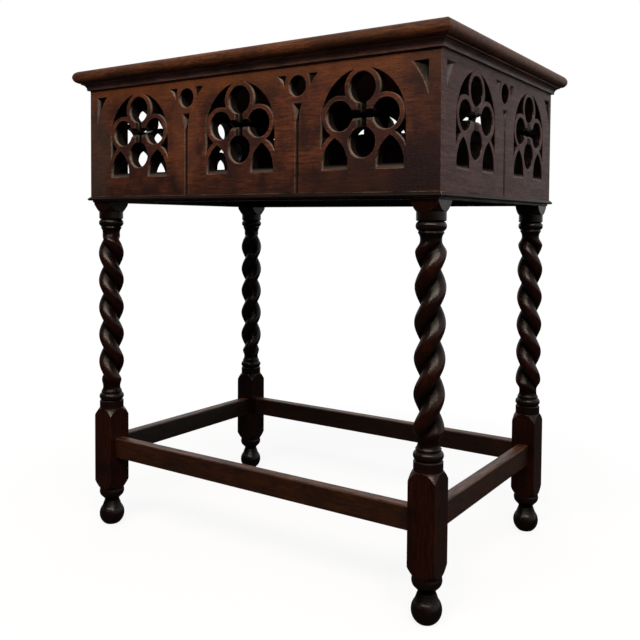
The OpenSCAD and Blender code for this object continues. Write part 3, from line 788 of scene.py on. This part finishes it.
@dataclass
class FriezeBox:
    """Four pierced tracery boards mitred at the corners, and the moulding at their foot."""

    ease: float = 0.5 * MM
    slot: str = "oak_frieze"
    recess: BoxRecess = BoxRecess(317 * MM, 204 * MM)
    # Darker towards the foot and paler towards the head, with painted shade round the carving
    # of each bay, a grey painted sheen at the front's left end, and other patches
    tints: tuple[Union[HeightBand, Stain], ...] = (
        HeightBand("#190a07", 600 * MM, 540 * MM, 0.62),
        HeightBand("#74411f", 680 * MM, 710 * MM, 0.5),
        Stain("#7d4a31", (-104 * MM, -204 * MM, 640 * MM), (38 * MM, 60 * MM, 110 * MM), 0.3),
        # Painted shade round the carving of each bay
        *(Stain("#291416", (bay * MM, 0.0, 628 * MM), (64 * MM, 600 * MM, 84 * MM), 0.65, 0.5)
          for bay in (-205, 0, 205)),
        # A grey painted sheen at the front's left end
        Stain("#3b2f2b", (-305 * MM, -204 * MM, 610 * MM), (45 * MM, 60 * MM, 110 * MM), 0.65),
        Stain("#1e0e0a", (215 * MM, -204 * MM, 556 * MM), (130 * MM, 50 * MM, 50 * MM), 0.5),
        Stain("#1e0e0a", (305 * MM, -204 * MM, 690 * MM), (50 * MM, 50 * MM, 90 * MM), 0.45),
        Stain("#1c0b0d", (296 * MM, -204 * MM, 566 * MM), (66 * MM, 50 * MM, 80 * MM), 0.9))

    # The long boards' warm red-brown has darker clouds; its carving is painted black for old wax
    # and shade, with dust and a painted highlight on the walls that face the light
    oak: WaxedOak = WaxedOak(
        name="frieze_oak", grain=Grain.ALONG_X, light="#6a3822", dark="#2d160f",
        cloud="#200f10", pore="#150905", worn="#6f4c3c", roughness=0.5, specular=0.26,
        cloud_width=34 * MM, cloudiness=0.85, tints=tints, figure_width=4 * MM,
        pore_width=0.75 * MM, pore_share=0.85, recess=recess, dust_and_highlight_from=2.2 * MM,
        dust_and_highlight_to=6 * MM)
    # The short boards are a plainer purple brown, with glossier carving, painted black for old
    # wax and shade, with dust and a painted highlight on the walls that face the light
    side_oak: WaxedOak = WaxedOak(
        name="frieze_oak_sides", grain=Grain.ALONG_Y, light="#4f2c29", dark="#351c1b",
        cloud="#2a1716", pore="#180c0b", worn="#5c433e", roughness=0.48, specular=0.24,
        cloud_width=80 * MM, cloudiness=0.4, recess=recess, recess_sheen=2.0,
        recess_roughness=0.22, grime_and_shade="#060303", dust_and_highlight="#7d716c", dust_and_highlight_share=0.7)
    # The moulding is nearly black, and paler on its rounded edges, partly from wear and partly
    # as a painted highlight
    moulding_oak: WaxedOak = WaxedOak(
        name="moulding_oak", grain=Grain.ALONG_X, light="#20120c", dark="#100806",
        cloud="#0b0604", pore="#070302", worn="#8a7566", roughness=0.46, specular=0.2)
    # The plain board behind the back tracery is a dull dark red
    lining_oak: WaxedOak = WaxedOak(
        name="lining_oak", grain=Grain.ALONG_X, light="#3a1911", dark="#260f0a",
        cloud="#170906", pore="#0e0504", worn="#3a1911", roughness=0.7, specular=0.2)

    def build(self) -> None:
        """Builds and dresses the boards and the mouldings."""
        boards = {oak.grain: oak.material() for oak in (self.oak, self.side_oak)}
        mouldings = self.moulding_oak.both_ways()
        for side in Side:
            for kind, finishes in (("frieze_", boards), ("base_moulding_", mouldings)):
                dress_node(kind + side.value, self.ease, finishes[side.grain])
        dress_node("back_lining", self.ease, self.lining_oak.material())


@dataclass
class Stretchers:
    """The four low rails between the legs."""

    ease: float = 0.5 * MM
    slot: str = "oak_stretcher"
    # The back and the left rail are the darkest, with painted shade
    tints: tuple[Stain, ...] = (
        Stain("#0a0403", (-294 * MM, 0.0, 130 * MM), (60 * MM, 260 * MM, 90 * MM), 0.85, 0.3),
        Stain("#0a0403", (0.0, 181 * MM, 130 * MM), (420 * MM, 50 * MM, 90 * MM), 0.7, 0.3))

    # Dark brown, paler on the upper faces, partly rubbed by feet and partly a painted highlight
    oak: WaxedOak = WaxedOak(
        name="stretcher_oak", grain=Grain.ALONG_X, light="#40200f", dark="#170904",
        cloud="#170904", pore="#0a0402", worn="#6a3f27", roughness=0.4, specular=0.32,
        top_wear_and_highlight=0.7, cloudiness=0.5, figure_width=4 * MM, pore_share=0.9, tints=tints)

    def build(self) -> None:
        """Builds and dresses the rails."""
        rails = self.oak.both_ways()
        for side in Side:
            dress_node("stretcher_" + side.value, self.ease, rails[side.grain])


@dataclass(frozen=True)
class Corner:
    """A leg's place and the way its strands climb.

    The sides are -1 or 1. The hand is 1 where the strands climb to the right, seen from
    outside, and -1 where they climb to the left. The turn is the way that a strand faces at
    the twist's foot, counted from X towards Y.
    """

    name: str
    x_side: int
    y_side: int
    hand: int
    turn: float


@dataclass
class Legs:
    """Four legs: turned foot, square block, ringed neck, double twist, ringed neck and block."""

    slot: str = "oak_leg"
    axis: tuple[float, float] = (294.3 * MM, 181.3 * MM)
    foot_r: float = 20 * MM
    foot_cut: float = 3.5 * MM
    foot_arc_end: float = 40.0
    foot_steps: int = 24
    ankle_r: float = 11.6 * MM
    ankle_rise: float = 23.5 * MM
    ankle_hollow_r: float = 4 * MM
    ankle_turns: tuple[float, float] = (215.0, 140.0)
    collar_r: float = 19.8 * MM
    collar_arc_r: float = 11 * MM
    collar_rise: float = 14.5 * MM
    collar_turns: tuple[float, float] = (-50.0, 22.0)
    block_foot: float = 60.5 * MM
    block_head: float = 195 * MM
    upper_drum: float = 520.5 * MM
    drum_r: float = 19.1 * MM
    lower_drum_len: float = 13 * MM
    upper_drum_len: float = 12 * MM
    quirk: float = 1.4 * MM
    ring_r: float = 19.6 * MM
    ring_len: float = 12 * MM
    ring_turn: float = 62.0
    hollow_len: float = 10 * MM
    hollow_turn: float = 42.0
    hollow_steps: int = 8
    neck_step: float = 2.5 * MM
    neck_len: float = 1.5 * MM
    neck_r: float = 13.8 * MM
    ridge_r: float = 19.9 * MM
    groove_r: float = 11 * MM
    pitch: float = 90 * MM
    fade: float = 15 * MM
    # Below 2 the strands bulge and meet in a sharp groove
    sharpness: float = 1.3
    sides: int = 96
    twist_rows: int = 220
    ease: float = 0.4 * MM
    corners: tuple[Corner, ...] = (
        Corner("front_left", -1, -1, -1, 33.0), Corner("front_right", 1, -1, 1, 148.0),
        Corner("back_left", -1, 1, 1, 46.0), Corner("back_right", 1, 1, -1, 99.0))
    # The feet and the turned necks next to the blocks are darker, and the back left leg is the
    # darkest
    tints: tuple[Union[HeightBand, Stain], ...] = (
        HeightBand("#0a0706", 66 * MM, 56 * MM, 0.8),
        Stain("#0a0605", (0.0, 0.0, 213 * MM), (1.5, 1.5, 26 * MM), 0.75, 0.0),
        Stain("#0a0605", (0.0, 0.0, 505 * MM), (1.5, 1.5, 30 * MM), 0.75, 0.0),
        Stain("#030201", (-294 * MM, 181 * MM, 300 * MM), (90 * MM, 90 * MM, 600 * MM), 0.6, 0.0))

    # Nearly black, waxed to a gloss, and painted blacker in the grooves and narrow turnings,
    # for old wax and shade
    oak: WaxedOak = WaxedOak(
        name="leg_oak", grain=Grain.ALONG_Z, light="#2e1007", dark="#130603", cloud="#0e0402",
        pore="#080201", worn="#3a1a0b", roughness=0.21, specular=0.23,
        recess=ShaftRecess(*axis, ridge_r), recess_from=2 * MM, recess_to=7 * MM,
        grime_and_shade="#040201", grime_and_shade_share=0.85, dust_and_highlight_share=0.0, recess_roughness=0.3, tints=tints)

    def foot_profile(self) -> list[tuple[float, float]]:
        """Draws the ball foot, ankle and collar up to the lower block.

        Returns:
            The profile, each point as distance from the axis and height.
        """
        middle = self.foot_r - self.foot_cut
        ankle = middle + self.ankle_rise
        low = -math.degrees(math.asin(middle / self.foot_r))
        return (arc(0, middle, self.foot_r, low, self.foot_arc_end, self.foot_steps)
                + arc(self.ankle_r + self.ankle_hollow_r, ankle, self.ankle_hollow_r,
                      *self.ankle_turns)
                + arc(self.collar_r - self.collar_arc_r, ankle + self.collar_rise,
                      self.collar_arc_r, *self.collar_turns)
                + [(self.drum_r, self.block_foot)])

    def neck_profile(self, drum_len: float) -> list[tuple[float, float]]:
        """Draws a drum, quirk, ring and hollow, upwards from height 0.

        Args:
            drum_len: The drum's length.

        Returns:
            The profile, each point as distance from the axis and height.
        """
        bulge_r = self.ring_len / 2 / math.sin(math.radians(self.ring_turn))
        hollow_r = (self.hollow_len - self.neck_step) / math.sin(math.radians(self.hollow_turn))
        hollow_head = drum_len + self.ring_len + self.hollow_len
        return ([(self.drum_r, 0.0), (self.drum_r, drum_len - self.quirk),
                 (self.drum_r - self.quirk, drum_len)]
                + arc(self.ring_r - bulge_r, drum_len + self.ring_len / 2, bulge_r,
                      -self.ring_turn, self.ring_turn)
                + arc(self.neck_r + hollow_r, hollow_head, hollow_r, 180 + self.hollow_turn, 180,
                      self.hollow_steps)
                + [(self.neck_r, hollow_head + self.neck_len)])

    def shaft_profile(self) -> tuple[list[tuple[float, float]], float, float]:
        """Draws the shaft between the blocks before it is twisted.

        Returns:
            The profile, and the heights of the twist's foot and head.
        """
        low = self.neck_profile(self.lower_drum_len)
        high = self.neck_profile(self.upper_drum_len)
        foot = self.block_head + low[-1][1]
        head = self.upper_drum - high[-1][1]
        rows = [foot + (head - foot) * i / self.twist_rows for i in range(1, self.twist_rows)]
        return ([(r, self.block_head + y) for r, y in low] + [(self.neck_r, z) for z in rows]
                + [(r, self.upper_drum - y) for r, y in reversed(high)]), foot, head

    def twist_tree(self) -> NodeTree:
        """Builds the Geometry Nodes tree that twists a turned shaft into two strands.

        Returns:
            The tree, whose inputs are the shaft, the twist's sizes and its finish.
        """
        tree = bpy.data.node_groups.new("double_twist", "GeometryNodeTree")
        tree.interface.new_socket("Geometry", in_out="INPUT", socket_type="NodeSocketGeometry")
        for name in ("Foot height", "Head height", "Pitch", "Hand", "Turn", "Neck radius",
                     "Ridge radius", "Groove radius", "Fade length", "Sharpness"):
            tree.interface.new_socket(name, in_out="INPUT", socket_type="NodeSocketFloat")
        tree.interface.new_socket("Finish", in_out="INPUT", socket_type="NodeSocketMaterial")
        tree.interface.new_socket("Geometry", in_out="OUTPUT", socket_type="NodeSocketGeometry")
        given = add(tree, "NodeGroupInput", {}).outputs
        place = add(tree, "GeometryNodeInputPosition", {}).outputs[0]
        axes = add(tree, "ShaderNodeSeparateXYZ", {0: place}).outputs
        known: dict[Union[str, float], Value] = {socket.name: socket for socket in given}
        known.update(zip("xyz", axes))
        # Each sum has its answer's name, its kind and its terms
        for answer, operation, *terms in (
                ("up", "SUBTRACT", "z", "Foot height"),
                ("down", "SUBTRACT", "Head height", "z"),
                ("pitches", "DIVIDE", "up", "Pitch"),
                ("turns", "MULTIPLY", "pitches", "Hand"),
                ("climbed", "MULTIPLY_ADD", "turns", math.tau, "Turn"),
                ("around", "ARCTAN2", "y", "x"),
                ("phase", "SUBTRACT", "around", "climbed"),
                ("wave", "COSINE", "phase"),
                ("bulge", "ABSOLUTE", "wave"),
                ("strand", "POWER", "bulge", "Sharpness"),
                ("carved", "SUBTRACT", "Ridge radius", "Groove radius"),
                ("swell", "MULTIPLY_ADD", "carved", "strand", "Groove radius")):
            known[answer] = add(tree, "ShaderNodeMath", {
                i: known.get(term, term) for i, term in enumerate(terms)},
                operation=operation).outputs[0]
        grown = [add(tree, "ShaderNodeMapRange", {
            "Value": known[run], "From Max": given["Fade length"]},
            interpolation_type="SMOOTHSTEP").outputs[0] for run in ("up", "down")]
        full = add(tree, "ShaderNodeMath", dict(enumerate(grown)), operation="MULTIPLY")
        radius = add(tree, "ShaderNodeMix", {
            0: full.outputs[0], 2: given["Neck radius"], 3: known["swell"]})
        wider = add(tree, "ShaderNodeMath", {
            0: radius.outputs[0], 1: given["Neck radius"]}, operation="DIVIDE")
        share = add(tree, "ShaderNodeMath", {0: wider.outputs[0], 1: 1.0}, operation="SUBTRACT")
        offset = add(tree, "ShaderNodeCombineXYZ", {
            i: add(tree, "ShaderNodeMath", {
                0: axes[i], 1: share.outputs[0]}, operation="MULTIPLY").outputs[0]
            for i in (0, 1)})
        moved = add(tree, "GeometryNodeSetPosition", {
            "Geometry": given["Geometry"], "Offset": offset.outputs[0]})
        plain = add(tree, "GeometryNodeRealizeInstances", {"Geometry": moved.outputs[0]})
        dressed = add(tree, "GeometryNodeSetMaterial", {
            "Geometry": plain.outputs[0], "Material": given["Finish"]})
        add(tree, "NodeGroupOutput", {"Geometry": dressed.outputs[0]})
        return tree

    def twisted(self, tree: NodeTree, corner: Corner, oak: Material) -> Mesh:
        """Runs the tree on a turned shaft.

        Args:
            tree: The twisting tree.
            corner: The leg's corner.
            oak: The legs' finish.

        Returns:
            The twisted shaft as a plain mesh about the Z axis.
        """
        profile, foot, head = self.shaft_profile()
        blank = bpy.data.objects.new("shaft_blank", lathe("shaft_blank", profile, self.sides))
        bpy.context.scene.collection.objects.link(blank)
        modifier = blank.modifiers.new("twist", "NODES")
        modifier.node_group = tree
        given = {
            "Foot height": foot, "Head height": head, "Pitch": self.pitch,
            "Hand": float(corner.hand), "Turn": math.radians(corner.turn),
            "Neck radius": self.neck_r, "Ridge radius": self.ridge_r,
            "Groove radius": self.groove_r, "Fade length": self.fade,
            "Sharpness": self.sharpness, "Finish": oak}
        for socket in tree.interface.items_tree:
            if socket.name in given:
                modifier[socket.identifier] = given[socket.name]
        ready = blank.evaluated_get(bpy.context.evaluated_depsgraph_get())
        mesh = bpy.data.meshes.new_from_object(ready)
        blank.modifiers.remove(modifier)
        bpy.data.objects.remove(blank)
        return mesh

    def build(self) -> None:
        """Builds and dresses the turned and the square parts of every leg."""
        oak = self.oak.material()
        tree = self.twist_tree()
        for corner in self.corners:
            node = "leg_" + corner.name
            place = Matrix.Translation(
                (corner.x_side * self.axis[0], corner.y_side * self.axis[1], 0))
            foot = lathe("foot", self.foot_profile(), self.sides)
            for part, mesh in (("foot", foot), ("shaft", self.twisted(tree, corner, oak))):
                mesh.transform(place)
                finished(f"{node}_{part}", mesh, [node], oak)
            lower = solid_copy(node)
            cut_off(lower, self.block_foot, Keep.ABOVE)
            cut_off(lower, self.block_head, Keep.BELOW)
            upper = solid_copy(node)
            cut_off(upper, self.upper_drum, Keep.ABOVE)
            for part, bm in (("lower_block", lower), ("upper_block", upper)):
                mesh = eased(bm, f"{node}_{part}", self.ease)
                finished(f"{node}_{part}", mesh, [node], oak)


@dataclass
class HiddenFixings:
    """Glue blocks and screws under the top, kept as their solids."""

    softwood: AgedSoftwood = AgedSoftwood()
    steel: DullSteel = DullSteel()

    def build(self) -> None:
        """Dresses the solids."""
        for node, finish in (("glue_blocks", self.softwood), ("top_screws", self.steel)):
            dress(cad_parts[node], finish.material())
            LOG.info("%s: in %s", node, finish.name)


@dataclass
class Studio:
    """A plain pale floor, a white surround, one soft lamp and the camera of the photograph."""

    # The camera was fitted to the table's edges: place in metres, turns in degrees, lens in pixels
    camera_place: tuple[float, float, float] = (0.73056, -1.05856, 0.50610)
    yaw: float = 33.0445
    pitch: float = -2.1646
    roll: float = 0.4721
    focal: float = 780.05
    centre: tuple[float, float] = (340.67, 251.84)
    picture: float = 640.0
    # Width in millimetres, as camera makers give it
    sensor: float = 36.0
    sight: tuple[float, float] = (0.05, 60.0)
    floor_r: float = 14.0
    floor_sides: int = 96
    floor_drop: float = 0.2 * MM
    paper: str = "#f2f3f6"
    # The floor sends little light back up at the table
    paper_unseen: str = "#3f3f3f"
    plain_from: float = 0.45
    plain_to: float = 1.1
    # How much of the floor is plain white near the table, where its shadow falls
    plain_near: float = 0.84
    plain_light: float = 1.02
    # The white sweep stands behind the table and to its right; the room before it is dark
    sweep_towards: tuple[float, float, float] = (0.3, 0.9, 0.32)
    sweep_range: tuple[float, float] = (-0.8, 0.6)
    sweep_light: float = 0.75
    room_light: float = 0.02
    # A wide warm soft box over the camera faces the middle of the table
    lamp_place: tuple[float, float, float] = (0.85, -1.9, 2.3)
    lamp_aim: tuple[float, float, float] = (0.0, 0.0, 0.45)
    lamp_size: tuple[float, float] = (3.4, 0.7)
    lamp_watts: float = 92.0
    lamp_colour: str = "#fff1e0"

    def build_world(self) -> None:
        """Makes a surround that is white where it is seen, and lights the table softly."""
        world = bpy.data.worlds.new("surround")
        world.use_nodes = True
        tree = world.node_tree
        tree.nodes.clear()
        seen = add(tree, "ShaderNodeLightPath", {}).outputs["Is Camera Ray"]
        way = add(tree, "ShaderNodeTexCoord", {})
        towards = add(tree, "ShaderNodeVectorMath", {
            0: way.outputs["Generated"], 1: self.sweep_towards}, operation="DOT_PRODUCT")
        sweep = add(tree, "ShaderNodeMapRange", {
            "Value": towards.outputs["Value"], "From Min": self.sweep_range[0],
            "From Max": self.sweep_range[1], "To Min": self.room_light,
            "To Max": self.sweep_light}, interpolation_type="SMOOTHSTEP")
        strength = add(tree, "ShaderNodeMix", {0: seen, 2: sweep.outputs[0], 3: 1.0})
        light = add(tree, "ShaderNodeBackground", {
            "Color": linear(WHITE), "Strength": strength.outputs[0]})
        add(tree, "ShaderNodeOutputWorld", {"Surface": light.outputs[0]})
        bpy.context.scene.world = world

    def floor_finish(self) -> Material:
        """Makes pale paper that turns to the plain white of the surround further out.

        Returns:
            The material.
        """
        made, tree = blank_material("floor_paper")
        seen = add(tree, "ShaderNodeLightPath", {}).outputs["Is Camera Ray"]
        place = add(tree, "ShaderNodeTexCoord", {})
        away = add(tree, "ShaderNodeVectorMath", {
            0: place.outputs["Object"]}, operation="LENGTH")
        far = add(tree, "ShaderNodeMapRange", {
            "Value": away.outputs["Value"], "From Min": self.plain_from,
            "From Max": self.plain_to, "To Min": self.plain_near},
            interpolation_type="SMOOTHSTEP")
        plain = add(tree, "ShaderNodeMath", {0: far.outputs[0], 1: seen}, operation="MULTIPLY")
        tone = add(tree, "ShaderNodeMix", {
            0: seen, 6: linear(self.paper_unseen), 7: linear(self.paper)}, data_type="RGBA")
        paper = add(tree, "ShaderNodeBsdfDiffuse", {"Color": tone.outputs[2]})
        glow = add(tree, "ShaderNodeEmission", {
            "Color": linear(WHITE), "Strength": self.plain_light})
        mixed = add(tree, "ShaderNodeMixShader", {
            0: plain.outputs[0], 1: paper.outputs[0], 2: glow.outputs[0]})
        add(tree, "ShaderNodeOutputMaterial", {"Surface": mixed.outputs[0]})
        return made

    def build_floor(self) -> None:
        """Lays a pale floor that keeps the table's shadow."""
        bm = bmesh.new()
        bmesh.ops.create_circle(
            bm, cap_ends=True, segments=self.floor_sides, radius=self.floor_r)
        mesh = bpy.data.meshes.new("floor")
        bm.to_mesh(mesh)
        bm.free()
        floor = bpy.data.objects.new("floor", mesh)
        floor.location.z = -self.floor_drop
        bpy.context.scene.collection.objects.link(floor)
        dress(floor, self.floor_finish())

    def build_lamp(self) -> None:
        """Hangs the soft box."""
        data = bpy.data.lights.new("key_lamp", "AREA")
        data.shape = "RECTANGLE"
        data.size, data.size_y = self.lamp_size
        data.energy = self.lamp_watts
        data.color = linear(self.lamp_colour)[:3]
        lamp = bpy.data.objects.new("key_lamp", data)
        lamp.location = self.lamp_place
        ahead = Vector(self.lamp_aim) - Vector(self.lamp_place)
        lamp.rotation_euler = ahead.to_track_quat("-Z", "Y").to_euler()
        bpy.context.scene.collection.objects.link(lamp)

    def build_camera(self) -> None:
        """Puts the camera where the photograph was taken from."""
        yaw, pitch, roll = (math.radians(a) for a in (self.yaw, self.pitch, self.roll))
        ahead = Vector((
            -math.sin(yaw) * math.cos(pitch), math.cos(yaw) * math.cos(pitch), math.sin(pitch)))
        level = Vector((math.cos(yaw), math.sin(yaw), 0))
        above = level.cross(ahead)
        right = math.cos(roll) * level + math.sin(roll) * above
        up = -math.sin(roll) * level + math.cos(roll) * above
        turn = Matrix((right, up, -ahead)).transposed().to_4x4()
        data = bpy.data.cameras.new("camera")
        data.sensor_width = self.sensor
        data.lens = self.focal * self.sensor / self.picture
        data.shift_x = 0.5 - self.centre[0] / self.picture
        data.shift_y = self.centre[1] / self.picture - 0.5
        data.clip_start, data.clip_end = self.sight
        camera = bpy.data.objects.new("camera", data)
        camera.matrix_world = Matrix.Translation(self.camera_place) @ turn
        bpy.context.scene.collection.objects.link(camera)
        bpy.context.scene.camera = camera

    def build(self) -> None:
        """Builds the whole studio."""
        self.build_world()
        self.build_floor()
        self.build_lamp()
        self.build_camera()
        bpy.context.scene.view_settings.view_transform = "Standard"


def main() -> None:
    """Builds the studio and the table."""
    Studio().build()
    for part in (TableTop(), FriezeBox(), Legs(), Stretchers(), HiddenFixings()):
        part.build()
        LOG.info("%s done", type(part).__name__)


if __name__ == "__main__":
    main()
